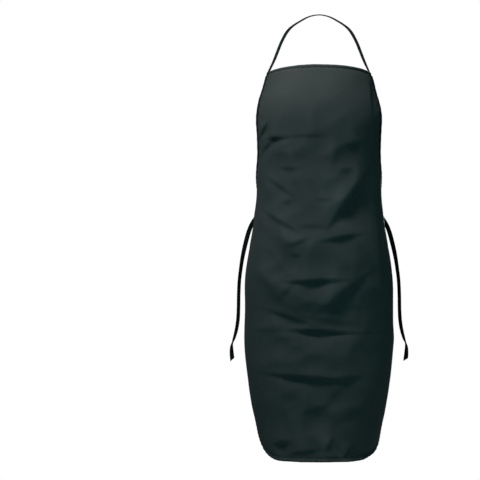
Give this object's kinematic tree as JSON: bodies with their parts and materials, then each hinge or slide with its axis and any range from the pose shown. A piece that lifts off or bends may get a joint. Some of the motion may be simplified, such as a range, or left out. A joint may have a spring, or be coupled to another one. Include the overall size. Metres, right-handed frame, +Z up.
{
  "type": "bib apron",
  "caption": "Plain bib apron held in its worn form: bib and skirt in one cut of twill, bound armholes, a neck strap loop and loose waist ties.",
  "frame": {"origin": "underside of the neck strap at the nape, where the apron hangs", "axes": "+Z up, -Y the apron's front, +X the wearer's left"},
  "size_m": [0.3804, 0.2321, 0.9413],
  "materials": {
    "twill": "matt black-green poly-cotton twill",
    "tape": "matt near-black woven tape"
  },
  "bodies": {
    "root": {"apron_panel": "twill", "armhole_binding_left": "tape", "armhole_binding_right": "tape", "neck_strap": "tape", "waist_tie_left": "tape", "waist_tie_right": "tape"}
  },
  "joints": []
}
